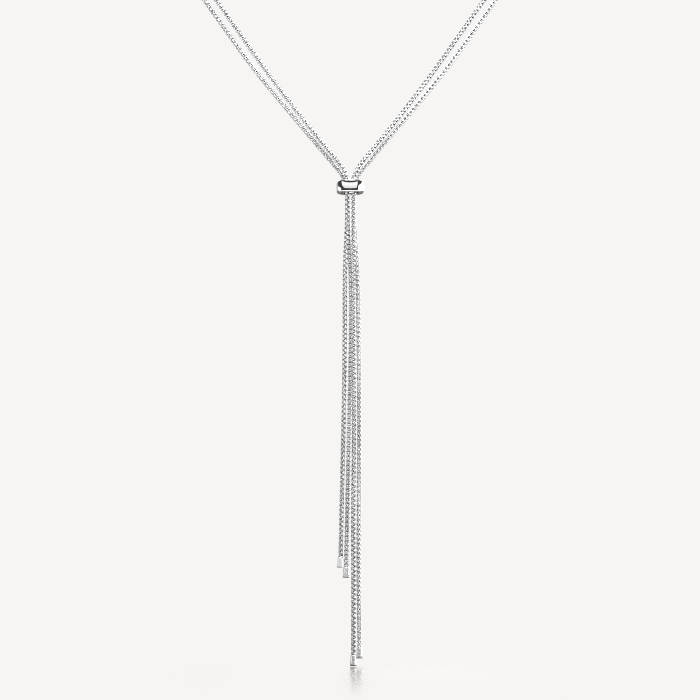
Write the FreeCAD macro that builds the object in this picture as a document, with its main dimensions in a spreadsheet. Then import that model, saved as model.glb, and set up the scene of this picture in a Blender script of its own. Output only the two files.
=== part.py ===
import FreeCAD, Part
import Sketcher

import math
import os

# Lariat necklace: two fine foxtail chains that go round the neck side by side, meet in a V on the
# chest and run together through one barrel slider, below which their four ends hang free.
# Millimetres. The origin is where the chains rest on the nape, +Z is up, the wearer looks along -Y,
# and +X is to the right of somebody who faces the wearer.

Vector = FreeCAD.Vector
UP = Vector(0, 0, 1)
SIDEWAYS = Vector(1, 0, 0)

DRIVING_SIZES = [
    ("chain_diameter", 1.3, "outside diameter of each foxtail chain"),
    ("slider_width", 7.5, "slider across the front, at its fullest"),
    ("slider_depth", 5.4, "slider from front to back, at its fullest"),
    ("slider_height", 3.5, "slider along the chains"),
    ("slider_barrel", 0.2, "how far the slider's ends draw in from its fullest girth"),
    ("slider_top_round", 0.7, "outer rounding at the slider's top"),
    ("slider_foot_round", 0.35, "outer rounding at the slider's foot"),
    ("slot_width", 4.2, "slider's slot across the front"),
    ("slot_depth", 3.2, "slider's slot from front to back"),
    ("slot_corner", 0.9, "radius of the slot's corners"),
    ("slot_lip", 0.2, "rounding of the slot's mouths"),
    ("slider_forward", 118, "slider's middle in front of the nape"),
    ("slider_drop", 125, "slider's middle below the nape"),
    ("slider_lean", 12, "degrees that the slider's top leans back to the chest"),
    ("cap_length", 2.9, "length of an end cap"),
    ("cap_foot_diameter", 1.85, "end cap at its flared foot"),
    ("cap_top_diameter", 1.56, "end cap round the chain"),
    ("cap_socket_clearance", 0.04, "gap all round a chain in its end cap"),
    ("cap_socket_depth", 0.9, "depth of an end cap's socket"),
    ("cap_foot_round", 0.1, "rounding of an end cap's foot"),
    ("cap_seat_gap", 0.05, "gap between a chain's end and the bottom of its socket"),
]

# Each route is the line that the chain's middle follows, as corners that are rounded below.
# The loop is even from side to side, so its points are the half at +X, from the nape to the slider.
INNER_HALF_LOOP = [
    (16.0, 0.0, 0.8),
    (33.0, -5.2, -1.0),
    (48.8, -19.0, -5.6),
    (58.8, -40.0, -13.6),
    (61.6, -61.6, -26.4),
    (56.2, -79.6, -46.0),
    (45.2, -90.5, -61.0),
    (33.9, -97.6, -77.0),
    (23.2, -103.6, -92.5),
    (12.8, -110.3, -106.5),
    (5.4, -115.2, -115.5),
    (0.75, -117.9, -121.5),
]
OUTER_HALF_LOOP = [
    (16.0, 0.0, -0.8),
    (33.2, -5.0, -2.7),
    (49.6, -18.8, -7.6),
    (60.2, -40.0, -16.0),
    (63.2, -62.2, -29.6),
    (57.7, -80.2, -49.4),
    (46.6, -91.0, -63.2),
    (35.7, -97.8, -79.0),
    (26.2, -103.6, -92.5),
    (14.7, -109.6, -106.5),
    (7.2, -113.6, -115.5),
    (1.05, -116.7, -122.8),
]
# The tails leave the slider's foot in two rows, the inner chain's in front, and hang to their own lengths.
INNER_LEFT_TAIL = [
    (-0.75, -119.1, -127.0),
    (-0.8, -119.3, -135.0),
    (-1.5, -119.3, -146.5),
    (-1.45, -119.2, -165.0),
    (-1.7, -119.2, -186.0),
    (-2.2, -119.2, -206.0),
    (-2.6, -119.2, -225.7),
]
INNER_RIGHT_TAIL = [
    (0.85, -119.1, -127.0),
    (0.95, -119.3, -136.0),
    (0.65, -119.3, -150.0),
    (0.9, -119.2, -168.0),
    (1.1, -119.2, -190.0),
    (0.75, -119.2, -213.0),
    (0.95, -119.2, -233.0),
    (0.87, -119.2, -252.1),
]
OUTER_LEFT_TAIL = [
    (-0.75, -117.7, -127.3),
    (-0.65, -117.7, -135.5),
    (-0.05, -117.7, -144.5),
    (0.3, -117.7, -158.0),
    (-0.05, -117.7, -179.0),
    (-0.6, -117.7, -204.0),
    (-1.1, -117.7, -228.4),
]
OUTER_RIGHT_TAIL = [
    (0.8, -117.7, -127.3),
    (1.0, -117.7, -135.0),
    (1.95, -117.7, -146.0),
    (2.25, -117.7, -163.0),
    (2.45, -117.7, -186.0),
    (2.35, -117.7, -210.0),
    (2.2, -117.7, -231.0),
    (2.5, -117.7, -250.2),
]

ARC_SHARE = 0.45  # of the shorter run beside a corner, taken by its arc on each side
TOLERANCE = 1e-3


def chain_route(half_loop, left_tail, right_tail):
    """Corners of one chain from the end of its left tail, round the neck, to the end of its right tail."""
    left_half = [(-x, y, z) for x, y, z in half_loop]
    corners = left_tail[::-1] + left_half[::-1] + half_loop + right_tail
    return [Vector(*corner) for corner in corners]


def rounded_path(corners):
    """One wire of straight runs joined by tangent arcs, and the arcs' radii."""
    edges = []
    radii = []
    start = corners[0]
    for before, corner, after in zip(corners, corners[1:], corners[2:]):
        to_before = before - corner
        to_after = after - corner
        reach = ARC_SHARE * min(to_before.Length, to_after.Length)
        to_before.normalize()
        to_after.normalize()
        half_turn = (math.pi - to_before.getAngle(to_after)) / 2
        radius = reach / math.tan(half_turn)
        arc_start = corner + to_before * reach
        arc_end = corner + to_after * reach
        arc_middle = corner + (to_before + to_after).normalize() * radius * (1 / math.cos(half_turn) - 1)
        edges.append(Part.LineSegment(start, arc_start).toShape())
        edges.append(Part.Arc(arc_start, arc_middle, arc_end).toShape())
        radii.append(radius)
        start = arc_end
    edges.append(Part.LineSegment(start, corners[-1]).toShape())
    return Part.Wire(edges), radii


def sizes_sheet(doc):
    """The spreadsheet of driving dimensions, one row each."""
    sheet = doc.addObject("Spreadsheet::Sheet", "sizes")
    for row, (alias, value, meaning) in enumerate(DRIVING_SIZES, start=1):
        sheet.set(f"A{row}", alias)
        sheet.set(f"B{row}", str(value))
        sheet.set(f"C{row}", meaning)
        sheet.setAlias(f"B{row}", alias)
    doc.recompute()
    return sheet


def chain(doc, label, corners):
    """A chain as a plain tube of its outside diameter, swept along its route."""
    wire, radii = rounded_path(corners)
    path = doc.addObject("Part::Feature", label + "_route")
    path.Shape = wire
    section = doc.addObject("Part::Circle", label + "_section")
    section.setExpression("Radius", "sizes.chain_diameter / 2")
    section.Placement = FreeCAD.Placement(corners[0], FreeCAD.Rotation(UP, corners[1] - corners[0]))
    tube = doc.addObject("Part::Sweep", label)
    tube.Label = label
    tube.Sections = [section]
    tube.Spine = (path, [])
    tube.Solid = True
    tube.Frenet = False
    print(label, "length", round(wire.Length, 1), "radii", [round(radius, 1) for radius in radii])
    return tube, wire.Length


def oval(doc, name, height_expression, draw_in):
    """One girth of the slider: an ellipse at a height, drawn in or not."""
    ring = doc.addObject("Part::Ellipse", name)
    ring.setExpression("MajorRadius", f"sizes.slider_width / 2 - {draw_in}")
    ring.setExpression("MinorRadius", f"sizes.slider_depth / 2 - {draw_in}")
    ring.setExpression("Placement.Base.z", height_expression)
    return ring


def edge_numbers(shape, test):
    """Numbers, counted from 1, of the edges whose bounding box passes a test."""
    return [number for number, edge in enumerate(shape.Edges, start=1) if test(edge.BoundBox)]


def flat_at(height, reach=math.inf):
    """A test for boxes that lie flat at a height and stay within a reach of the middle along X."""

    def test(box):
        is_flat = abs(box.ZMin - height) < TOLERANCE and abs(box.ZMax - height) < TOLERANCE
        return is_flat and max(-box.XMin, box.XMax) < reach + TOLERANCE

    return test


def rounded_edges(doc, name, base, choices):
    """A base with edges rounded: choices pairs a test for an edge's box with a radius."""
    doc.recompute()
    fillet = doc.addObject("Part::Fillet", name)
    fillet.Base = base
    fillet.Edges = [
        (number, radius, radius) for test, radius in choices for number in edge_numbers(base.Shape, test)
    ]
    return fillet


def slider(doc, sheet):
    """The barrel slider: an oval drum, fullest at mid height, with a rounded slot for the four strands."""
    foot = oval(doc, "slider_foot_girth", "-sizes.slider_height / 2", "sizes.slider_barrel")
    waist = oval(doc, "slider_full_girth", "0 mm", "0")
    top = oval(doc, "slider_top_girth", "sizes.slider_height / 2", "sizes.slider_barrel")
    drum = doc.addObject("Part::Loft", "slider_drum")
    drum.Sections = [foot, waist, top]
    drum.Solid = True
    drum.Ruled = False
    half_height = sheet.slider_height / 2
    outer_rounds = [
        (flat_at(half_height), sheet.slider_top_round),
        (flat_at(-half_height), sheet.slider_foot_round),
    ]
    rounded_drum = rounded_edges(doc, "slider_rounded_drum", drum, outer_rounds)

    bar = doc.addObject("Part::Box", "slot_bar")
    bar.setExpression("Length", "sizes.slot_width")
    bar.setExpression("Width", "sizes.slot_depth")
    bar.setExpression("Height", "sizes.slider_height * 2")
    bar.setExpression("Placement.Base.x", "-sizes.slot_width / 2")
    bar.setExpression("Placement.Base.y", "-sizes.slot_depth / 2")
    bar.setExpression("Placement.Base.z", "-sizes.slider_height")
    bar_corners = [(lambda box: box.ZLength > sheet.slider_height, sheet.slot_corner)]
    pierced = doc.addObject("Part::Cut", "slider_pierced")
    pierced.Base = rounded_drum
    pierced.Tool = rounded_edges(doc, "slot_rounded_bar", bar, bar_corners)

    half_slot = sheet.slot_width / 2
    lips = [(flat_at(height, half_slot), sheet.slot_lip) for height in (half_height, -half_height)]
    body = rounded_edges(doc, "slider", pierced, lips)
    body.Label = "slider"
    middle = Vector(0, -sheet.slider_forward, -sheet.slider_drop)
    body.Placement = FreeCAD.Placement(middle, FreeCAD.Rotation(SIDEWAYS, -sheet.slider_lean))
    return body


def cap_profile(body, sheet, name):
    """Half section of an end cap beside its axis, foot down, with its sizes bound to the sheet."""
    sketch = body.newObject("Sketcher::SketchObject", name)
    plane = next(item for item in body.Origin.OriginFeatures if item.Role == "XZ_Plane")
    sketch.AttachmentSupport = [(plane, "")]
    sketch.MapMode = "FlatFace"
    foot = sheet.cap_foot_diameter / 2
    top = sheet.cap_top_diameter / 2
    socket = sheet.chain_diameter / 2 + sheet.cap_socket_clearance
    socket_expression = "sizes.chain_diameter / 2 + sizes.cap_socket_clearance"
    length = sheet.cap_length
    floor = length - sheet.cap_socket_depth
    points = [(0, 0), (foot, 0), (top, length), (socket, length), (socket, floor), (0, floor)]
    for (x, y), (next_x, next_y) in zip(points, points[1:] + points[:1]):
        sketch.addGeometry(Part.LineSegment(Vector(x, y, 0), Vector(next_x, next_y, 0)), False)
    lines = len(points)
    for line in range(lines):
        sketch.addConstraint(Sketcher.Constraint("Coincident", line, 2, (line + 1) % lines, 1))
    foot_line, side_line, rim_line, wall_line, floor_line, axis_line = range(lines)
    sketch.addConstraint(Sketcher.Constraint("Coincident", foot_line, 1, -1, 1))
    for line in (foot_line, rim_line, floor_line):
        sketch.addConstraint(Sketcher.Constraint("Horizontal", line))
    for line in (wall_line, axis_line):
        sketch.addConstraint(Sketcher.Constraint("Vertical", line))
    driven = [
        ("DistanceX", foot_line, "foot_radius", foot, "sizes.cap_foot_diameter / 2"),
        ("DistanceX", side_line, "top_radius", top, "sizes.cap_top_diameter / 2"),
        ("DistanceY", side_line, "length", length, "sizes.cap_length"),
        ("DistanceX", rim_line, "socket_radius", socket, socket_expression),
        ("DistanceY", wall_line, "socket_floor", floor, "sizes.cap_length - sizes.cap_socket_depth"),
    ]
    for kind, line, size_name, value, expression in driven:
        number = sketch.addConstraint(Sketcher.Constraint(kind, -1, 1, line, 2, value))
        sketch.renameConstraint(number, size_name)
        sketch.setExpression("Constraints." + size_name, expression)
    return sketch


def end_cap(doc, sheet, label, corners):
    """A flared end cap, turned about its own axis, whose socket holds the last of a chain's route."""
    body = doc.addObject("PartDesign::Body", label)
    body.Label = label
    sketch = cap_profile(body, sheet, label + "_profile")
    turned = body.newObject("PartDesign::Revolution", label + "_turned")
    turned.Profile = sketch
    turned.ReferenceAxis = (sketch, ["V_Axis"])
    turned.Angle = 360
    doc.recompute()

    foot_edges = [f"Edge{number}" for number in edge_numbers(turned.Shape, flat_at(0))]
    foot_round = body.newObject("PartDesign::Fillet", label + "_foot_round")
    foot_round.Base = (turned, foot_edges)
    foot_round.setExpression("Radius", "sizes.cap_foot_round")
    body.Tip = foot_round

    into_cap = (corners[-1] - corners[-2]).normalize()
    below_chain = sheet.cap_length - sheet.cap_socket_depth + sheet.cap_seat_gap
    foot_middle = corners[-1] + into_cap * below_chain
    body.Placement = FreeCAD.Placement(foot_middle, FreeCAD.Rotation(UP, into_cap * -1))
    return body


def check_document(doc, nodes):
    """Stop unless every object recomputed and every node is one valid solid."""
    for item in doc.Objects:
        if "Invalid" in item.State or "Error" in item.State:
            raise RuntimeError(f"{item.Name} failed: {item.State}")
    for node in nodes:
        shape = node.Shape
        if shape.isNull() or not shape.isValid() or len(shape.Solids) != 1:
            raise RuntimeError(f"{node.Label} is not one valid solid")


def main():
    """Build the necklace and write each piece to its own file."""
    doc = FreeCAD.newDocument("lariat_necklace")
    sheet = sizes_sheet(doc)
    inner_corners = chain_route(INNER_HALF_LOOP, INNER_LEFT_TAIL, INNER_RIGHT_TAIL)
    outer_corners = chain_route(OUTER_HALF_LOOP, OUTER_LEFT_TAIL, OUTER_RIGHT_TAIL)
    inner, inner_length = chain(doc, "inner_chain", inner_corners)
    outer, outer_length = chain(doc, "outer_chain", outer_corners)
    nodes = [inner, outer, slider(doc, sheet)]
    tails = [
        ("end_cap_inner_left", inner_corners[::-1]),
        ("end_cap_outer_left", outer_corners[::-1]),
        ("end_cap_inner_right", inner_corners),
        ("end_cap_outer_right", outer_corners),
    ]
    for label, corners in tails:
        nodes.append(end_cap(doc, sheet, label, corners))
    doc.recompute()
    check_document(doc, nodes)

    section = math.pi * sheet.chain_diameter**2 / 4
    for tube, length in ((inner, inner_length), (outer, outer_length)):
        share = tube.Shape.Volume / (section * length)
        print(tube.Label, "volume over section times length", round(share, 5))

    os.makedirs("parts", exist_ok=True)
    for node in nodes:
        node.Shape.exportStep(f"parts/{node.Label}.step")
        print(node.Label, "volume", round(node.Shape.Volume, 2))


main()
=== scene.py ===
"""Looks of a lariat necklace: foxtail chains, a polished barrel slider and flared end caps.

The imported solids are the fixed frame. Sizes in the tables and classes are in millimetres, in the
frame's own axes: +Z up, the wearer looks along -Y. Blender's objects are in metres.
"""

import logging
import math
from dataclasses import dataclass, field
from enum import Enum

import bpy
import numpy as np
from mathutils import Matrix, Vector

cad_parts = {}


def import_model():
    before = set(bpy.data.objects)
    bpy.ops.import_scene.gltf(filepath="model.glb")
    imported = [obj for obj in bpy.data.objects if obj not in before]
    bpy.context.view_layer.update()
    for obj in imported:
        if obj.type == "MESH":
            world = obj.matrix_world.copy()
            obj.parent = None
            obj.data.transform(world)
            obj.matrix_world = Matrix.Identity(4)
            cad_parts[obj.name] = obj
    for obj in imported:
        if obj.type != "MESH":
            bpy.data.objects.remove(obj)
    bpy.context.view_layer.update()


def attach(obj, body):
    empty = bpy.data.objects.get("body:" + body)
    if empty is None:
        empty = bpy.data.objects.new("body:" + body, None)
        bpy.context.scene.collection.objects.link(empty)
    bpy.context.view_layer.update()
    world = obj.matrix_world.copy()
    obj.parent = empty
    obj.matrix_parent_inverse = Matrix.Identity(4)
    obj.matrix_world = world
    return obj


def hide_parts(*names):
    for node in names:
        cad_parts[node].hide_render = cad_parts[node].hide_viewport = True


LOG = logging.getLogger("lariat_necklace")
MM = 0.001
BODY = "root"
CLEARANCE = "clearance"
NUMBER, VECTOR, COLOUR = "NodeSocketFloat", "NodeSocketVector", "NodeSocketColor"

Point = tuple[float, float, float]
Colour = tuple[float, float, float, float]


class Side(Enum):
    """The half of the necklace that a piece belongs to, as seen by somebody facing the wearer."""

    LEFT = "left"
    RIGHT = "right"


# Points that steer the chains' smooth lines: the half of each loop at +X, from near the nape to
# the slider, and each tail from the slider down.
INNER_HALF_LOOP: tuple[Point, ...] = (
    (16.0, 0.0, 0.8),
    (33.0, -5.2, -1.0),
    (48.8, -19.0, -5.6),
    (58.8, -40.0, -13.6),
    (61.6, -61.6, -26.4),
    (56.2, -79.6, -46.0),
    (45.2, -90.5, -61.0),
    (33.9, -97.6, -77.0),
    (23.2, -103.6, -92.5),
    (12.8, -110.3, -106.5),
    (5.4, -115.2, -115.5),
    (0.75, -117.9, -121.5),
)
INNER_LEFT_TAIL: tuple[Point, ...] = (
    (-0.75, -119.1, -127.0),
    (-0.8, -119.3, -135.0),
    (-1.5, -119.3, -146.5),
    (-1.45, -119.2, -165.0),
    (-1.7, -119.2, -186.0),
    (-2.2, -119.2, -206.0),
    (-2.6, -119.2, -225.7),
)
INNER_RIGHT_TAIL: tuple[Point, ...] = (
    (0.85, -119.1, -127.0),
    (0.95, -119.3, -136.0),
    (0.65, -119.3, -150.0),
    (0.9, -119.2, -168.0),
    (1.1, -119.2, -190.0),
    (0.75, -119.2, -213.0),
    (0.95, -119.2, -233.0),
    (0.87, -119.2, -252.1),
)
OUTER_HALF_LOOP: tuple[Point, ...] = (
    (16.0, 0.0, -0.8),
    (33.2, -5.0, -2.7),
    (49.6, -18.8, -7.6),
    (60.2, -40.0, -16.0),
    (63.2, -62.2, -29.6),
    (57.7, -80.2, -49.4),
    (46.6, -91.0, -63.2),
    (35.7, -97.8, -79.0),
    (26.2, -103.6, -92.5),
    (14.7, -109.6, -106.5),
    (7.2, -113.6, -115.5),
    (1.05, -116.7, -122.8),
)
OUTER_LEFT_TAIL: tuple[Point, ...] = (
    (-0.75, -117.7, -127.3),
    (-0.65, -117.7, -135.5),
    (-0.05, -117.7, -144.5),
    (0.3, -117.7, -158.0),
    (-0.05, -117.7, -179.0),
    (-0.6, -117.7, -204.0),
    (-1.1, -117.7, -228.4),
)
OUTER_RIGHT_TAIL: tuple[Point, ...] = (
    (0.8, -117.7, -127.3),
    (1.0, -117.7, -135.0),
    (1.95, -117.7, -146.0),
    (2.25, -117.7, -163.0),
    (2.45, -117.7, -186.0),
    (2.35, -117.7, -210.0),
    (2.2, -117.7, -231.0),
    (2.5, -117.7, -250.2),
)


def unit(rows: np.ndarray) -> np.ndarray:
    """The rows scaled to length one."""
    return rows / np.linalg.norm(rows, axis=-1, keepdims=True)


def transported_normals(tangents: np.ndarray, start: np.ndarray) -> np.ndarray:
    """Carries a direction along a line without twisting it.

    Args:
        tangents: the line's unit direction at each of its points, one a row.
        start: a direction that isn't along the first tangent.

    Returns:
        A unit direction across the line at each point.
    """
    normals = np.zeros_like(tangents)
    across = start
    for index, tangent in enumerate(tangents):
        across = across - tangent * (across @ tangent)
        across = across / np.linalg.norm(across)
        normals[index] = across
    return normals


def new_mesh_object(name: str, vertices: np.ndarray, faces: list[list[int]]) -> bpy.types.Object:
    """Makes a smooth-shaded mesh object in the scene.

    Args:
        name: the object's name.
        vertices: points in millimetres, one a row.
        faces: the vertex numbers of each face.

    Returns:
        The new object.
    """
    mesh = bpy.data.meshes.new(name)
    mesh.from_pydata((vertices * MM).tolist(), [], faces)
    mesh.polygons.foreach_set("use_smooth", [True] * len(mesh.polygons))
    mesh.update()
    piece = bpy.data.objects.new(name, mesh)
    bpy.context.scene.collection.objects.link(piece)
    return piece


def ring_faces(rings: int, sides: int, closed: bool) -> np.ndarray:
    """Quads between neighbouring rings of vertices.

    Args:
        rings: how many rings there are, each numbered on from the last.
        sides: vertices in each ring.
        closed: whether the last ring joins the first one.

    Returns:
        Four vertex numbers a row.
    """
    ring = np.arange(rings if closed else rings - 1)[:, None]
    side = np.arange(sides)[None, :]
    after = (ring + 1) % rings
    beside = (side + 1) % sides
    corners = (
        ring * sides + side,
        ring * sides + beside,
        after * sides + beside,
        after * sides + side,
    )
    return np.stack(corners, axis=-1).reshape(-1, 4)


def set_clearance(piece: bpy.types.Object, millimetres: np.ndarray) -> None:
    """Stores each vertex's clearance, which the finish paints in shade where it is low."""
    clearance = piece.data.attributes.new(CLEARANCE, "FLOAT", "POINT")
    clearance.data.foreach_set("value", millimetres.ravel())


def hand_over(piece: bpy.types.Object, node: str, material: bpy.types.Material) -> None:
    """Dresses a piece, ties it to the frame and lets it stand for its solid.

    Args:
        piece: the finished mesh object.
        node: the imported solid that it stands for.
        material: what it is made of.
    """
    piece.data.materials.append(material)
    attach(piece, BODY)
    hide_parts(node)
    piece.data.calc_loop_triangles()
    LOG.info("%s stands for %s with %d triangles", piece.name, node, len(piece.data.loop_triangles))


class Wiring:
    """Adds shader nodes to a tree and joins them, a call for each."""

    def __init__(self, tree: bpy.types.NodeTree) -> None:
        """Keeps the tree that the nodes go in."""
        self.tree = tree

    @classmethod
    def fresh(cls, owner: bpy.types.Material | bpy.types.World) -> "Wiring":
        """Empties the node tree of a material or a world, to wire it anew.

        Args:
            owner: the material or the world.

        Returns:
            The wiring of its tree.
        """
        owner.use_nodes = True
        owner.node_tree.nodes.clear()
        return cls(owner.node_tree)

    def node(self, kind: str, values: dict | None = None, **settings: object) -> bpy.types.Node:
        """Adds one node.

        Args:
            kind: Blender's name of the node type.
            values: input sockets by name or number, each with a value or another node's output.
            **settings: the node's own settings.

        Returns:
            The node.
        """
        made = self.tree.nodes.new(kind)
        for name, value in settings.items():
            setattr(made, name, value)
        for socket, value in (values or {}).items():
            if isinstance(value, bpy.types.NodeSocket):
                self.tree.links.new(value, made.inputs[socket])
            else:
                made.inputs[socket].default_value = value
        return made

    def maths(self, operation: str, *values: object) -> bpy.types.NodeSocket:
        """The result of a Math node on numbers and other nodes' outputs."""
        return self.node("ShaderNodeMath", dict(enumerate(values)), operation=operation).outputs[0]

    def mix(self, share: object, low: object, high: object) -> bpy.types.NodeSocket:
        """The number that lies a share of the way from one number or socket to another."""
        values = {0: share, 2: low, 3: high}
        return self.node("ShaderNodeMix", values, data_type="FLOAT").outputs[0]

    def ramp(
        self, value: object, low: float, high: float, start: object = 0.0, end: object = 1.0
    ) -> bpy.types.NodeSocket:
        """A smooth step of a value.

        Args:
            value: the number or socket that is stepped.
            low: where the step starts.
            high: where it ends.
            start: the result below the step, a number or a socket.
            end: the result above it, a number or a socket.

        Returns:
            The output socket.
        """
        values = {0: value, 1: low, 2: high, 3: start, 4: end}
        return self.node("ShaderNodeMapRange", values, interpolation_type="SMOOTHSTEP").outputs[0]


def node_group(
    name: str, inputs: dict[str, str], outputs: dict[str, str]
) -> tuple[bpy.types.NodeTree, Wiring, dict, dict]:
    """Starts a shader node group.

    Args:
        name: the group's name.
        inputs: socket types by socket name.
        outputs: socket types by socket name.

    Returns:
        The group, its wiring, and the sockets inside it by name: those that bring its inputs and
        those that take its outputs.
    """
    group = bpy.data.node_groups.new(name, "ShaderNodeTree")
    for direction, sockets in (("INPUT", inputs), ("OUTPUT", outputs)):
        for socket_name, socket_type in sockets.items():
            group.interface.new_socket(socket_name, in_out=direction, socket_type=socket_type)
    wiring = Wiring(group)
    given = wiring.node("NodeGroupInput").outputs
    wanted = wiring.node("NodeGroupOutput").inputs
    return group, wiring, {key: given[key] for key in inputs}, {key: wanted[key] for key in outputs}


# Smears, hairlines and clouds in polished metal. The scale is per metre and the bump's distance is
# in metres. A stretch below 1 draws the hairlines out along that axis.
SMEAR_SCALE = 900.0
SMEAR_SHARE, HAIRLINE_SHARE = 0.6, 0.4
HAIRLINE_STRETCH = (1.0, 1.0, 0.12)
WEAR_FROM, WEAR_TO = 0.36, 0.64
CLOUD_FROM, CLOUD_TO = 0.35, 0.7
CLOUD_DARKENING = 0.12
BUMP_DISTANCE = 0.00001


def polish_wear_group() -> bpy.types.NodeTree:
    """Fine hairlines and soft smears that polished metal picks up.

    Returns:
        A group with Position, Hairline Density, Brightest and Dullest in, and Roughness and
        Height out.
    """
    group, wiring, given, wanted = node_group(
        "polish_wear",
        {"Position": VECTOR, "Hairline Density": NUMBER, "Brightest": NUMBER, "Dullest": NUMBER},
        {"Roughness": NUMBER, "Height": NUMBER},
    )
    smear = wiring.node(
        "ShaderNodeTexNoise",
        {"Vector": given["Position"], "Scale": SMEAR_SCALE, "Detail": 3.0, "Roughness": 0.55},
    )
    stretched = wiring.node(
        "ShaderNodeVectorMath", {0: given["Position"], 1: HAIRLINE_STRETCH}, operation="MULTIPLY"
    )
    hairline = wiring.node(
        "ShaderNodeTexNoise",
        {"Vector": stretched.outputs[0], "Scale": given["Hairline Density"], "Detail": 2.0},
    )
    smears = wiring.maths("MULTIPLY", smear.outputs[0], SMEAR_SHARE)
    blend = wiring.maths("MULTIPLY_ADD", hairline.outputs[0], HAIRLINE_SHARE, smears)
    spread = wiring.ramp(blend, WEAR_FROM, WEAR_TO, given["Brightest"], given["Dullest"])
    wiring.tree.links.new(spread, wanted["Roughness"])
    wiring.tree.links.new(hairline.outputs[0], wanted["Height"])
    return group


def silver_tone_group() -> bpy.types.NodeTree:
    """The tone of silver: darker in random clouds, and darker still where painted shade comes in.

    Returns:
        A group with Position, Bright, Dark, the painted shade's share and Cloud Scale in, and Color
        out.
    """
    group, wiring, given, wanted = node_group(
        "silver_tone",
        {
            "Position": VECTOR,
            "Bright": COLOUR,
            "Dark": COLOUR,
            "Painted Shade": NUMBER,
            "Cloud Scale": NUMBER,
        },
        {"Color": COLOUR},
    )
    cloud = wiring.node(
        "ShaderNodeTexNoise",
        {"Vector": given["Position"], "Scale": given["Cloud Scale"], "Detail": 4.0},
    )
    patchy = wiring.ramp(cloud.outputs[0], CLOUD_FROM, CLOUD_TO, 0.0, CLOUD_DARKENING)
    # The share of the dark tone: random clouds plus the painted shade that comes in.
    dark_share = wiring.node("ShaderNodeClamp", {0: wiring.maths("ADD", patchy, given["Painted Shade"])})
    tones = {0: dark_share.outputs[0], 6: given["Bright"], 7: given["Dark"]}
    mix = wiring.node("ShaderNodeMix", tones, data_type="RGBA", blend_type="MIX")
    wiring.tree.links.new(mix.outputs[2], wanted["Color"])
    return group


@dataclass(frozen=True)
class SilverFinish:
    """A finish of solid silver.

    Brightest and dullest are the roughness of its most and its least polished spots. Where a
    vertex's clearance is below the painted shade's start, the dark tone is painted in as shade at
    the painted shade's share, and it runs out at the painted shade's end. Both are in millimetres.
    """

    name: str
    slot: str
    bright: Colour
    dark: Colour
    brightest: float
    dullest: float
    hairline_density: float
    relief: float
    cloud_scale: float
    painted_shade_from: float = 0.0
    painted_shade_to: float = 0.0
    painted_shade_share: float = 0.0

    def material(self, wear: bpy.types.NodeTree, tone: bpy.types.NodeTree) -> bpy.types.Material:
        """Builds the finish's material.

        Args:
            wear: the polish_wear group.
            tone: the silver_tone group.

        Returns:
            A procedural material.
        """
        material = bpy.data.materials.new(self.name)
        wiring = Wiring.fresh(material)
        place = wiring.node("ShaderNodeTexCoord").outputs["Object"]
        wear_values = {
            "Position": place,
            "Hairline Density": self.hairline_density,
            "Brightest": self.brightest,
            "Dullest": self.dullest,
        }
        tone_values = {
            "Position": place,
            "Bright": self.bright,
            "Dark": self.dark,
            "Cloud Scale": self.cloud_scale,
        }
        # Painted shade: where the clearance is low, in the hollows near the chain's middle and on
        # the caps' foot rim, the dark tone is mixed in.
        if self.painted_shade_share:
            clear = wiring.node("ShaderNodeAttribute", attribute_name=CLEARANCE).outputs["Fac"]
            tone_values["Painted Shade"] = wiring.ramp(
                clear, self.painted_shade_from, self.painted_shade_to, self.painted_shade_share, 0.0
            )
        worn = wiring.node("ShaderNodeGroup", wear_values, node_tree=wear).outputs
        toned = wiring.node("ShaderNodeGroup", tone_values, node_tree=tone).outputs
        bump_values = {
            "Strength": self.relief,
            "Distance": BUMP_DISTANCE,
            "Height": worn["Height"],
        }
        shader_values = {
            "Base Color": toned["Color"],
            "Metallic": 1.0,
            "Roughness": worn["Roughness"],
            "Normal": wiring.node("ShaderNodeBump", bump_values).outputs[0],
        }
        shader = wiring.node("ShaderNodeBsdfPrincipled", shader_values)
        wiring.node("ShaderNodeOutputMaterial", {"Surface": shader.outputs[0]})
        return material


# The wire's near-black dark tone is painted shade in the hollows between its wires, with a little
# of it in random clouds.
CHAIN_FINISH = SilverFinish(
    name="bright_drawn_wire",
    slot="chain_silver",
    bright=(0.975, 0.98, 0.985, 1.0),
    dark=(0.05, 0.053, 0.057, 1.0),
    brightest=0.05,
    dullest=0.12,
    hairline_density=9000.0,
    relief=0.12,
    cloud_scale=260.0,
    painted_shade_from=0.37,
    painted_shade_to=0.51,
    painted_shade_share=0.97,
)
SLIDER_FINISH = SilverFinish(
    name="mirror_polished_drum",
    slot="slider_silver",
    bright=(0.95, 0.95, 0.955, 1.0),
    dark=(0.8, 0.8, 0.81, 1.0),
    brightest=0.03,
    dullest=0.07,
    hairline_density=5200.0,
    relief=0.015,
    cloud_scale=420.0,
)
# The cap's dark tone is painted shade on the lowest band of its foot rim, with a little of it in
# random clouds.
CAP_FINISH = SilverFinish(
    name="polished_end_cap",
    slot="cap_silver",
    bright=(0.97, 0.97, 0.975, 1.0),
    dark=(0.12, 0.12, 0.125, 1.0),
    brightest=0.36,
    dullest=0.48,
    hairline_density=7000.0,
    relief=0.04,
    cloud_scale=700.0,
    painted_shade_from=0.26,
    painted_shade_to=0.34,
    painted_shade_share=0.9,
)


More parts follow.
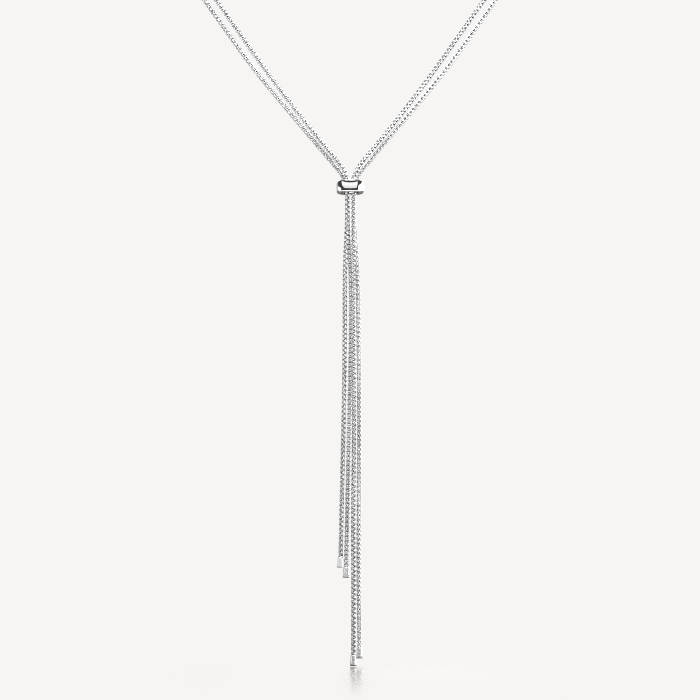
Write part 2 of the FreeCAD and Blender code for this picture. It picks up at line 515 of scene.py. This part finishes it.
@dataclass
class FoxtailLink:
    """One folded loop of wire, as the quarter from the middle of its waist to the top of one head.

    The columns of quarter are how far out, how far aside and how far up the wire's middle is.
    """

    quarter: tuple[Point, ...] = (
        (0.0, 0.11, 0.0),
        (0.349, 0.11, 0.081),
        (0.524, 0.13, 0.395),
        (0.499, 0.206, 0.874),
        (0.39, 0.368, 1.273),
        (0.236, 0.28, 1.496),
        (0.163, 0.0, 1.597),
    )
    wire_diameter: float = 0.209
    wire_sides: int = 6

    @property
    def height(self) -> float:
        """From the middle of the waist's wire to the middle of the head's."""
        return self.quarter[-1][2]

    def middle_line(self) -> np.ndarray:
        """Mirrors the quarter into the whole loop.

        Returns:
            The closed line along the middle of the wire, one point a row.
        """
        rising = np.array(self.quarter)
        falling = rising[::-1][1:] * (1, -1, 1)
        far_rising = rising[1:] * (-1, -1, 1)
        far_falling = rising[::-1][1:-1] * (-1, 1, 1)
        return np.vstack((rising, falling, far_rising, far_falling))

    def wire(self) -> np.ndarray:
        """Sweeps the wire along its middle line.

        Returns:
            The wire's vertices, ring after ring, one point a row.
        """
        line = self.middle_line()
        tangents = unit(np.roll(line, -1, axis=0) - np.roll(line, 1, axis=0))
        normals = transported_normals(tangents, np.array((0.0, 0.0, 1.0)))
        binormals = np.cross(tangents, normals)
        # The carried direction comes back turned. That turn, less whole sides of the wire, is
        # spread along the loop, so that the last ring meets the first.
        back = normals[-1] - tangents[0] * (normals[-1] @ tangents[0])
        slip = math.atan2(back @ binormals[0], back @ normals[0])
        step = 2 * math.pi / self.wire_sides
        slip -= step * round(slip / step)
        untwist = -slip * np.arange(len(line)) / len(line)
        turn = untwist[:, None] + step * np.arange(self.wire_sides)[None, :]
        radius = self.wire_diameter / 2
        out = np.cos(turn)[..., None] * normals[:, None]
        aside = np.sin(turn)[..., None] * binormals[:, None]
        return (line[:, None] + radius * (out + aside)).reshape(-1, 3)


@dataclass
class FoxtailChain:
    """A chain of folded loops.

    Each loop is turned a quarter from the last and passed through the heads of the one before
    that. Facing is the whole chain's turn about its line, in radians, and wander is how far it
    strays to either side of that. Above the height loop_end a little more clearance is added, so
    the painted shade between the wires is lighter on the loop than on the tails.
    """

    node: str
    half_loop: tuple[Point, ...]
    left_tail: tuple[Point, ...]
    right_tail: tuple[Point, ...]
    facing: float
    link: FoxtailLink = field(default_factory=FoxtailLink)
    pitch: float = 0.635
    end_room: float = 0.02
    wander: float = 0.14
    wander_length: float = 61.0
    loop_end: float = -125.0
    loop_shade_lift: float = 0.08
    line_steps: int = 32

    def route(self) -> list[Point]:
        """The chain's points from the end of its left tail, round the neck, to its right end."""
        left_half = [(-x, y, z) for x, y, z in reversed(self.half_loop)]
        return [*reversed(self.left_tail), *left_half, *self.half_loop, *self.right_tail]

    def smooth_line(self) -> np.ndarray:
        """Draws the smooth line that the route's points steer.

        Returns:
            Points of the line in millimetres, one a row.
        """
        points = self.route()
        curve = bpy.data.curves.new(self.node + "_line", "CURVE")
        curve.dimensions = "3D"
        spline = curve.splines.new("NURBS")
        spline.points.add(len(points) - 1)
        for place, (x, y, z) in zip(spline.points, points):
            place.co = (x * MM, y * MM, z * MM, 1.0)
        spline.order_u = 3
        spline.use_endpoint_u = True
        spline.resolution_u = self.line_steps
        holder = bpy.data.objects.new(self.node + "_line", curve)
        mesh = bpy.data.meshes.new_from_object(holder)
        line = np.zeros(len(mesh.vertices) * 3)
        mesh.vertices.foreach_get("co", line)
        bpy.data.objects.remove(holder)
        bpy.data.curves.remove(curve)
        bpy.data.meshes.remove(mesh)
        return line.reshape(-1, 3) / MM

    def link_starts(self, length: float) -> np.ndarray:
        """Where the waist of each link is along the chain.

        Args:
            length: the chain's length.

        Returns:
            An even number of places, evenly spaced.
        """
        first = self.link.wire_diameter / 2 + self.end_room
        room = length - 2 * first - self.link.height
        count = round(room / self.pitch) + 1
        count -= count % 2
        LOG.info("%s is %.1f mm long and has %d links", self.node, length, count)
        return first + np.arange(count) * room / (count - 1)

    def links(self) -> tuple[np.ndarray, np.ndarray]:
        """Every link's vertices on the chain's line, and their clearances.

        Returns:
            Links by vertices by three numbers, in millimetres, and links by vertices of how far
            each is from the middle of the chain, which sets the painted shade.
        """
        line = self.smooth_line()
        runs = np.linalg.norm(np.diff(line, axis=0), axis=1)
        along = np.concatenate(((0.0,), np.cumsum(runs)))
        tangents = unit(np.gradient(line, along, axis=0))
        normals = transported_normals(tangents, np.array((0.0, -1.0, 0.0)))
        starts = self.link_starts(along[-1])

        wire = self.link.wire()
        turned = (np.arange(len(starts)) % 2 == 1)[:, None]
        out = np.where(turned, -wire[None, :, 1], wire[None, :, 0])
        aside = np.where(turned, wire[None, :, 0], wire[None, :, 1])
        places = starts[:, None] + wire[None, :, 2]
        twist = self.facing + self.wander * np.sin(2 * math.pi * places / self.wander_length)
        turned_out = out * np.cos(twist) - aside * np.sin(twist)
        turned_aside = out * np.sin(twist) + aside * np.cos(twist)

        def at(values: np.ndarray) -> np.ndarray:
            """The line's values at every vertex's place along it."""
            return np.stack([np.interp(places, along, column) for column in values.T], axis=-1)

        middle, tangent, normal = at(line), unit(at(tangents)), at(normals)
        normal = unit(normal - tangent * (normal * tangent).sum(axis=-1, keepdims=True))
        binormal = np.cross(tangent, normal)
        vertices = middle + turned_out[..., None] * normal + turned_aside[..., None] * binormal
        # On the loop, above loop_end, the clearance is raised, so less shade is painted between its
        # wires than on the tails.
        painted_shade_lift = np.where(vertices[..., 2] > self.loop_end, self.loop_shade_lift, 0.0)
        return vertices, np.hypot(out, aside) + painted_shade_lift

    def build(self, material: bpy.types.Material) -> None:
        """Makes the left and the right half of the chain.

        Args:
            material: what the wire is made of.
        """
        vertices, clearance = self.links()
        count, per_link, _ = vertices.shape
        wire_sides = self.link.wire_sides
        one_link = ring_faces(per_link // wire_sides, wire_sides, closed=True)
        halves = {Side.LEFT: slice(0, count // 2), Side.RIGHT: slice(count // 2, count)}
        for side, chosen in halves.items():
            half = vertices[chosen]
            first_vertices = per_link * np.arange(len(half))[:, None, None]
            faces = (one_link[None] + first_vertices).reshape(-1, 4).tolist()
            piece = new_mesh_object(f"{self.node}_links_{side.value}", half.reshape(-1, 3), faces)
            set_clearance(piece, clearance[chosen])
            hand_over(piece, self.node, material)


@dataclass
class BarrelSlider:
    """The drum that gathers the four strands: oval, fullest at mid height, with a rounded slot.

    Barrel is how far the wall is drawn in by the height of the drum's ends. Forward and drop are
    how far its middle is in front of the nape and below it, and lean is in degrees. Least_ray
    keeps the slot's outline from dividing by zero on the rays along an axis.
    """

    node: str = "slider"
    width: float = 7.5
    depth: float = 5.4
    height: float = 3.5
    barrel: float = 0.2
    top_round: float = 0.7
    foot_round: float = 0.35
    slot_width: float = 4.2
    slot_depth: float = 3.2
    slot_corner: float = 0.9
    slot_lip: float = 0.2
    forward: float = 118.0
    drop: float = 125.0
    lean: float = 12.0
    rays: int = 144
    wall_rings: int = 12
    top_steps: int = 12
    foot_steps: int = 8
    lip_steps: int = 4
    slot_rings: int = 8
    slot_wall_share: float = 0.86
    flat_shares: tuple[float, ...] = (0.06, 0.2, 0.5, 0.8, 0.94)
    slope_rounds: int = 8
    least_ray: float = 1e-9

    def girth(self, inset: float, height: float) -> np.ndarray:
        """The drum's outline.

        Args:
            inset: how far inside the fullest outline it is.
            height: its height over the drum's middle.

        Returns:
            One point a row.
        """
        turn = 2 * math.pi * np.arange(self.rays) / self.rays
        half_width, half_depth = self.width / 2, self.depth / 2
        edge = np.stack((half_width * np.cos(turn), half_depth * np.sin(turn)), axis=-1)
        outward = unit(np.stack((half_depth * np.cos(turn), half_width * np.sin(turn)), axis=-1))
        flat = edge - inset * outward
        return np.column_stack((flat, np.full(self.rays, height)))

    def slot_edge(self, grown: float, height: float) -> np.ndarray:
        """The slot's outline, on the same rays as the drum's.

        Args:
            grown: how far outside the slot's wall it is.
            height: its height over the drum's middle.

        Returns:
            One point a row.
        """
        girth = self.girth(0.0, height)
        bearing = np.arctan2(girth[:, 1], girth[:, 0])
        ray = np.stack((np.abs(np.cos(bearing)), np.abs(np.sin(bearing))), axis=-1)
        half = np.array((self.slot_width / 2 + grown, self.slot_depth / 2 + grown))
        radius = self.slot_corner + grown
        corner = half - radius
        to_side = half / np.maximum(ray, self.least_ray)
        along = ray @ corner
        to_corner = along + np.sqrt(np.maximum(along**2 - corner @ corner + radius**2, 0.0))
        hits_end = to_side[:, 0] * ray[:, 1] <= corner[1]
        hits_front = to_side[:, 1] * ray[:, 0] <= corner[0]
        reach = np.where(hits_end, to_side[:, 0], np.where(hits_front, to_side[:, 1], to_corner))
        flat = np.stack((reach * np.cos(bearing), reach * np.sin(bearing)), axis=-1)
        return np.column_stack((flat, np.full(self.rays, height)))

    def wall_inset(self, height: float) -> float:
        """How far the barrel's wall is drawn in at a height."""
        return self.barrel * (2 * height / self.height) ** 2

    def rim(self, radius: float, steps: int) -> list[tuple[float, float]]:
        """A rounded rim between the wall and the end of the drum, for its upper half.

        Args:
            radius: the rim's radius.
            steps: how many parts its arc has.

        Returns:
            Insets and heights, from the wall to the flat.
        """
        centre = self.height / 2 - radius
        # The arc leaves the wall where both have the same slope, found in a few rounds.
        slope = 0.0
        for _ in range(self.slope_rounds):
            meets = centre + radius * math.sin(slope)
            slope = math.atan(8 * self.barrel * meets / self.height**2)
        inset = self.wall_inset(meets) + radius * math.cos(slope)
        return [
            (inset - radius * math.cos(turn), centre + radius * math.sin(turn))
            for turn in np.linspace(slope, math.pi / 2, steps + 1)
        ]

    def flat_rings(self, start: np.ndarray, end: np.ndarray) -> list[np.ndarray]:
        """Rings on the flat between two outlines."""
        return [start + (end - start) * share for share in self.flat_shares]

    def rings(self) -> list[np.ndarray]:
        """Lays the rings of the drum's skin.

        Returns:
            Rings up the wall, in over the top, down the slot and out under the foot.
        """
        half = self.height / 2
        top_rim = self.rim(self.top_round, self.top_steps)
        foot_rim = self.rim(self.foot_round, self.foot_steps)
        wall = np.linspace(-foot_rim[0][1], top_rim[0][1], self.wall_rings)[1:-1]
        slot_wall = np.linspace(half, -half, self.slot_rings)[1:-1] * self.slot_wall_share
        lip = [
            (self.slot_lip * (1 - math.sin(turn)), self.slot_lip * (1 - math.cos(turn)))
            for turn in np.linspace(0, math.pi / 2, self.lip_steps + 1)
        ]

        skin = [self.girth(self.wall_inset(height), height) for height in wall]
        skin += [self.girth(inset, height) for inset, height in top_rim]
        outer, inner = self.girth(top_rim[-1][0], half), self.slot_edge(self.slot_lip, half)
        skin += self.flat_rings(outer, inner)
        skin += [self.slot_edge(grown, half - drop) for grown, drop in lip]
        skin += [self.slot_edge(0.0, height) for height in slot_wall]
        skin += [self.slot_edge(grown, drop - half) for grown, drop in reversed(lip)]
        outer, inner = self.girth(foot_rim[-1][0], -half), self.slot_edge(self.slot_lip, -half)
        skin += self.flat_rings(inner, outer)
        skin += [self.girth(inset, -height) for inset, height in reversed(foot_rim)]
        return skin

    def build(self, material: bpy.types.Material) -> None:
        """Makes the drum and sets it where the solid is.

        Args:
            material: what it is made of.
        """
        skin = self.rings()
        lean = np.array(Matrix.Rotation(math.radians(-self.lean), 3, "X"))
        vertices = np.vstack(skin) @ lean.T + (0.0, -self.forward, -self.drop)
        faces = ring_faces(len(skin), self.rays, closed=True).tolist()
        piece = new_mesh_object("slider_drum", vertices, faces)
        hand_over(piece, self.node, material)


@dataclass
class EndCap:
    """A small turned cap on the end of a tail, with a foot rim, a groove and a chain socket.

    The lowest band of the foot rim is painted dark as shade, and a cap's lift is added to its
    heights so that this band is thinner. Foot_flat is a share of the foot's radius and foot_edge a
    multiple of foot_round, and both place a ring of the foot. The flare starts flare_from over the
    rim, and is flare_short lower than the cap is over its rim.
    """

    node: str
    tail: tuple[Point, ...]
    painted_shade_lift: float = 0.0
    length: float = 2.9
    foot_radius: float = 0.925
    top_radius: float = 0.78
    socket_radius: float = 0.69
    socket_depth: float = 0.9
    socket_bevel: float = 0.03
    foot_round: float = 0.1
    foot_flat: float = 0.45
    foot_edge: float = 1.6
    rim_height: float = 0.38
    rim_bevel: float = 0.03
    rim_bevel_height: float = 0.04
    groove_depth: float = 0.05
    groove_height: float = 0.06
    flare_from: float = 0.09
    flare_short: float = 0.12
    flare_inset: float = 0.02
    flare_power: int = 3
    seat_gap: float = 0.05
    sides: int = 56
    foot_rings: int = 5
    flare_rings: int = 15
    mouth_rings: int = 7

    def profile(self) -> list[tuple[float, float]]:
        """Draws the cap's half section.

        Returns:
            Radii and heights of its rings, from the foot to the floor of the socket.
        """
        foot, bend, rim = self.foot_radius, self.foot_round, self.rim_height
        outline = [(foot * self.foot_flat, 0.0), (foot - bend * self.foot_edge, 0.0)]
        outline += [
            (foot - bend * (1 - math.sin(turn)), bend * (1 - math.cos(turn)))
            for turn in np.linspace(0, math.pi / 2, self.foot_rings)
        ]
        groove = foot - self.groove_depth
        outline.append((foot - self.rim_bevel, rim - self.rim_bevel_height))
        outline += [(groove, rim), (groove, rim + self.groove_height)]
        waist = self.top_radius
        flare_width = foot - self.flare_inset - waist
        flare_height = self.length - self.flare_short - rim
        for share in np.linspace(0, 1, self.flare_rings):
            radius = waist + flare_width * (1 - share) ** self.flare_power
            outline.append((radius, rim + self.flare_from + flare_height * share))
        wall, half_wall = (waist + self.socket_radius) / 2, (waist - self.socket_radius) / 2
        mouth = self.length - half_wall
        outline += [
            (wall + half_wall * math.cos(turn), mouth + half_wall * math.sin(turn))
            for turn in np.linspace(0, math.pi, self.mouth_rings)
        ]
        socket, floor = self.socket_radius, self.length - self.socket_depth
        outline += [(socket, floor + self.socket_bevel), (socket - self.socket_bevel, floor)]
        return outline

    def build(self, material: bpy.types.Material) -> None:
        """Turns the cap and sets it over the end of its tail.

        Args:
            material: what it is made of.
        """
        outline = self.profile()
        turn = 2 * math.pi * np.arange(self.sides) / self.sides
        circle = np.stack((np.cos(turn), np.sin(turn)), axis=-1)
        rings = [
            np.column_stack((circle * radius, np.full(self.sides, height)))
            for radius, height in outline
        ]
        last = Vector(self.tail[-1])
        into_cap = (last - Vector(self.tail[-2])).normalized()
        foot = last + into_cap * (self.length - self.socket_depth + self.seat_gap)
        upright = np.array(Vector((0, 0, 1)).rotation_difference(-into_cap).to_matrix())
        vertices = np.vstack(rings) @ upright.T + np.array(foot)
        faces = ring_faces(len(rings), self.sides, closed=False).tolist()
        faces.append(list(range(self.sides))[::-1])
        faces.append(list(range(len(vertices) - self.sides, len(vertices))))
        piece = new_mesh_object(self.node.replace("end_cap", "turned_cap"), vertices, faces)
        # The clearance is the height over the foot, so the finish paints shade as a dark band on
        # the foot rim; a cap's lift thins that band.
        clearances = [height + self.painted_shade_lift for _, height in outline]
        set_clearance(piece, np.repeat(clearances, self.sides))
        hand_over(piece, self.node, material)


@dataclass
class LariatNecklace:
    """The whole necklace."""

    chains: tuple[FoxtailChain, ...] = (
        FoxtailChain(
            "inner_chain",
            INNER_HALF_LOOP,
            INNER_LEFT_TAIL,
            INNER_RIGHT_TAIL,
            facing=0.785,
        ),
        FoxtailChain(
            "outer_chain",
            OUTER_HALF_LOOP,
            OUTER_LEFT_TAIL,
            OUTER_RIGHT_TAIL,
            facing=0.0,
            wander_length=73.0,
        ),
    )
    slider: BarrelSlider = field(default_factory=BarrelSlider)
    caps: tuple[EndCap, ...] = (
        # The two left caps get a thinner band of painted shade at the foot.
        EndCap("end_cap_inner_left", INNER_LEFT_TAIL, painted_shade_lift=0.2),
        EndCap("end_cap_outer_left", OUTER_LEFT_TAIL, painted_shade_lift=0.12),
        EndCap("end_cap_inner_right", INNER_RIGHT_TAIL),
        EndCap("end_cap_outer_right", OUTER_RIGHT_TAIL),
    )

    def build(self) -> None:
        """Makes the finishes and every piece."""
        wear, tone = polish_wear_group(), silver_tone_group()
        finishes = (CHAIN_FINISH, SLIDER_FINISH, CAP_FINISH)
        wire, drum, cap_silver = (finish.material(wear, tone) for finish in finishes)
        for chain in self.chains:
            chain.build(wire)
        self.slider.build(drum)
        for cap in self.caps:
            cap.build(cap_silver)


@dataclass(frozen=True)
class LightPanel:
    """A soft panel or a dark flag of the studio, as the necklace sees it.

    A bearing is 0 towards the camera and grows to the right of the picture, and everything but
    the glow is in degrees. Spread and lean say how much wider the panel is, and how far its
    middle goes to the right, for each degree above its middle.
    """

    bearing: float
    half_width: float
    elevation: float
    half_height: float
    softness: float
    glow: float
    spread: float = 0.0
    lean: float = 0.0


PANEL_SOCKETS = {
    "Panel Bearing": "bearing",
    "Half Width": "half_width",
    "Panel Elevation": "elevation",
    "Half Height": "half_height",
    "Softness": "softness",
    "Spread": "spread",
    "Lean": "lean",
}


@dataclass(frozen=True)
class FloorBand:
    """A stretch of the floor as the metal sees it.

    Going back along +Y, the floor's glow fades to this band's between two places.
    """

    fades_from: float
    full_at: float
    glow: float


@dataclass
class Studio:
    """Pale paper all round, soft panels and flags, a floor with a faint sheen, and the camera.

    A later panel covers an earlier one. The clip distances are in metres, and the pixel filter is
    in pixels.
    """

    paper: Colour = (0.9216, 0.9131, 0.8963, 1.0)
    between_panels: float = 0.28
    panels: tuple[LightPanel, ...] = (
        # Overhead all round, the wall behind the necklace, and the dark flag in front of it.
        LightPanel(0.0, 181.0, 83.0, 12.0, 1.5, 18.0),
        LightPanel(180.0, 45.0, 18.0, 30.0, 5.0, 1.25),
        LightPanel(0.0, 112.0, 21.0, 30.0, 5.0, 0.05),
        # The bright window within that flag: its upper and its lower part.
        LightPanel(-5.4, 59.2, 27.5, 7.5, 1.5, 1.02, spread=0.9, lean=-0.1),
        LightPanel(-1.5, 46.5, 16.5, 4.5, 1.5, 0.86, spread=1.4, lean=-0.6),
        # To the right of the necklace, to its left, and behind it on the left.
        LightPanel(108.0, 54.0, 5.0, 14.0, 3.0, 3.4, lean=0.6),
        LightPanel(-83.0, 19.0, 1.0, 8.0, 3.0, 2.8, lean=-0.6),
        LightPanel(-135.0, 40.0, 1.0, 9.0, 5.0, 0.6),
    )
    floor_level: float = -254.4
    floor_reach: float = 6000.0
    floor_edge_glow: float = 0.05
    floor_bands: tuple[FloorBand, ...] = (
        FloorBand(-750.0, -600.0, 2.3),
        FloorBand(-350.0, -160.0, 0.35),
        FloorBand(-50.0, 120.0, 0.2),
    )
    floor_roughness: float = 0.24
    sheen_tone: float = 0.8
    sheen_from: float = -240.0
    sheen_full: float = -128.0
    sheen_to: float = -105.0
    sheen_half_width: float = 22.0
    sheen_fade: float = 30.0
    grazing_from: float = 0.86
    grazing_full: float = 0.915
    camera_distance: float = 1200.0
    camera_plane: float = -118.0
    camera_level: float = -169.0
    camera_aside: float = -0.054
    frame_width: float = 189.0
    sensor: float = 36.0
    clip_from: float = 0.05
    clip_to: float = 60.0
    pixel_filter: float = 1.0

    def camera(self) -> None:
        """Sets the camera level with the middle of the picture, straight in front."""
        data = bpy.data.cameras.new("camera")
        data.sensor_width = self.sensor
        data.lens = self.sensor * self.camera_distance / self.frame_width
        data.clip_start, data.clip_end = self.clip_from, self.clip_to
        camera = bpy.data.objects.new("camera", data)
        place = (self.camera_aside, self.camera_plane - self.camera_distance, self.camera_level)
        camera.location = Vector(place) * MM
        camera.rotation_euler = (math.pi / 2, 0.0, 0.0)
        bpy.context.scene.collection.objects.link(camera)
        bpy.context.scene.camera = camera

    def panel_group(self) -> bpy.types.NodeTree:
        """How much of a soft panel lies in a direction.

        Returns:
            A group with a bearing, an elevation and the panel's sizes in, and Share out.
        """
        group, wiring, given, wanted = node_group(
            "light_panel",
            {name: NUMBER for name in ("Bearing", "Elevation", *PANEL_SOCKETS)},
            {"Share": NUMBER},
        )
        above = wiring.maths("SUBTRACT", given["Elevation"], given["Panel Elevation"])
        middle = wiring.maths("MULTIPLY_ADD", above, given["Lean"], given["Panel Bearing"])
        off_middle = wiring.maths("SUBTRACT", given["Bearing"], middle)
        beside = wiring.maths("WRAP", off_middle, 180.0, -180.0)
        half_width = wiring.maths("MULTIPLY_ADD", above, given["Spread"], given["Half Width"])
        shares = []
        for off, half in ((beside, half_width), (above, given["Half Height"])):
            past = wiring.maths("SUBTRACT", wiring.maths("ABSOLUTE", off), half)
            softened = wiring.maths("DIVIDE", past, given["Softness"])
            shares.append(wiring.ramp(softened, -1.0, 1.0, 1.0, 0.0))
        wiring.tree.links.new(wiring.maths("MULTIPLY", *shares), wanted["Share"])
        return group

    def surroundings(self) -> None:
        """Lights the scene from all round: the camera sees plain paper, the metal the panels."""
        world = bpy.data.worlds.new("studio")
        bpy.context.scene.world = world
        wiring = Wiring.fresh(world)
        direction = wiring.node("ShaderNodeTexCoord").outputs["Generated"]
        way = wiring.node("ShaderNodeSeparateXYZ", {0: direction}).outputs
        degrees = 180 / math.pi
        forward = wiring.maths("MULTIPLY", way[1], -1.0)
        bearing = wiring.maths("MULTIPLY", wiring.maths("ARCTAN2", way[0], forward), degrees)
        elevation = wiring.maths("MULTIPLY", wiring.maths("ARCSINE", way[2]), degrees)
        glow = self.between_panels
        group = self.panel_group()
        for panel in self.panels:
            sizes = {socket: getattr(panel, size) for socket, size in PANEL_SOCKETS.items()}
            values = {"Bearing": bearing, "Elevation": elevation, **sizes}
            seen = wiring.node("ShaderNodeGroup", values, node_tree=group)
            glow = wiring.mix(seen.outputs[0], glow, panel.glow)
        lights = {"Color": (1.0, 1.0, 1.0, 1.0), "Strength": glow}
        lit = wiring.node("ShaderNodeBackground", lights).outputs[0]
        plain = {"Color": self.paper, "Strength": 1.0}
        paper = wiring.node("ShaderNodeBackground", plain).outputs[0]
        to_camera = wiring.node("ShaderNodeLightPath").outputs["Is Camera Ray"]
        shown = wiring.node("ShaderNodeMixShader", {0: to_camera, 1: lit, 2: paper}).outputs[0]
        wiring.node("ShaderNodeOutputWorld", {"Surface": shown})

    def floor_glow(self, wiring: Wiring, back: bpy.types.NodeSocket) -> bpy.types.NodeSocket:
        """How strongly the floor glows: plain paper for the camera, the bands for the metal.

        Args:
            wiring: the floor material's wiring.
            back: the place along +Y, in metres.

        Returns:
            The strength's socket.
        """
        glow = self.floor_edge_glow
        for band in self.floor_bands:
            glow = wiring.ramp(back, band.fades_from * MM, band.full_at * MM, glow, band.glow)
        to_camera = wiring.node("ShaderNodeLightPath").outputs["Is Camera Ray"]
        return wiring.mix(to_camera, glow, 1.0)

    def sheen_share(
        self, wiring: Wiring, across: bpy.types.NodeSocket, back: bpy.types.NodeSocket
    ) -> bpy.types.NodeSocket:
        """How glossy the floor is: only round the foot of the tails, and only at a grazing angle.

        Args:
            wiring: the floor material's wiring.
            across: the place along +X, in metres.
            back: the place along +Y, in metres.

        Returns:
            The share's socket.
        """
        rise = wiring.ramp(back, self.sheen_from * MM, self.sheen_full * MM)
        fall = wiring.ramp(back, self.sheen_full * MM, self.sheen_to * MM, 1.0, 0.0)
        aside = wiring.maths("ABSOLUTE", across)
        edge = (self.sheen_half_width + self.sheen_fade) * MM
        near = wiring.ramp(aside, self.sheen_half_width * MM, edge, 1.0, 0.0)
        facing = wiring.node("ShaderNodeLayerWeight").outputs["Facing"]
        grazing = wiring.ramp(facing, self.grazing_from, self.grazing_full)
        lengthwise = wiring.maths("MULTIPLY", rise, fall)
        return wiring.maths("MULTIPLY", lengthwise, wiring.maths("MULTIPLY", near, grazing))

    def floor(self) -> None:
        """Lays the pale floor, with a sheen only where the tails are mirrored in it."""
        reach, level = self.floor_reach, self.floor_level
        corners = [(x * reach, y * reach, level) for x, y in ((-1, -1), (1, -1), (1, 1), (-1, 1))]
        sheet = new_mesh_object("studio_floor", np.array(corners), [[0, 1, 2, 3]])
        material = bpy.data.materials.new("pale_floor")
        wiring = Wiring.fresh(material)
        place = wiring.node("ShaderNodeTexCoord").outputs["Object"]
        across, back, _ = wiring.node("ShaderNodeSeparateXYZ", {0: place}).outputs
        glowing = {"Color": self.paper, "Strength": self.floor_glow(wiring, back)}
        pale = wiring.node("ShaderNodeEmission", glowing).outputs[0]
        toned = (*(channel * self.sheen_tone for channel in self.paper[:3]), 1.0)
        glossy = {"Color": toned, "Roughness": self.floor_roughness}
        sheen = wiring.node("ShaderNodeBsdfGlossy", glossy).outputs[0]
        share = self.sheen_share(wiring, across, back)
        surface = wiring.node("ShaderNodeMixShader", {0: share, 1: pale, 2: sheen}).outputs[0]
        wiring.node("ShaderNodeOutputMaterial", {"Surface": surface})
        sheet.data.materials.append(material)

    def build(self) -> None:
        """Makes the camera, the light and the floor."""
        self.camera()
        self.surroundings()
        self.floor()
        view = bpy.context.scene.view_settings
        view.view_transform = "Standard"
        view.look = "None"
        bpy.context.scene.cycles.use_denoising = False
        bpy.context.scene.cycles.filter_width = self.pixel_filter


def main() -> None:
    """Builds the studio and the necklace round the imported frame."""
    logging.basicConfig(level=logging.INFO, format="%(name)s: %(message)s")
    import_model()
    Studio().build()
    LariatNecklace().build()


if __name__ == "__main__":
    main()
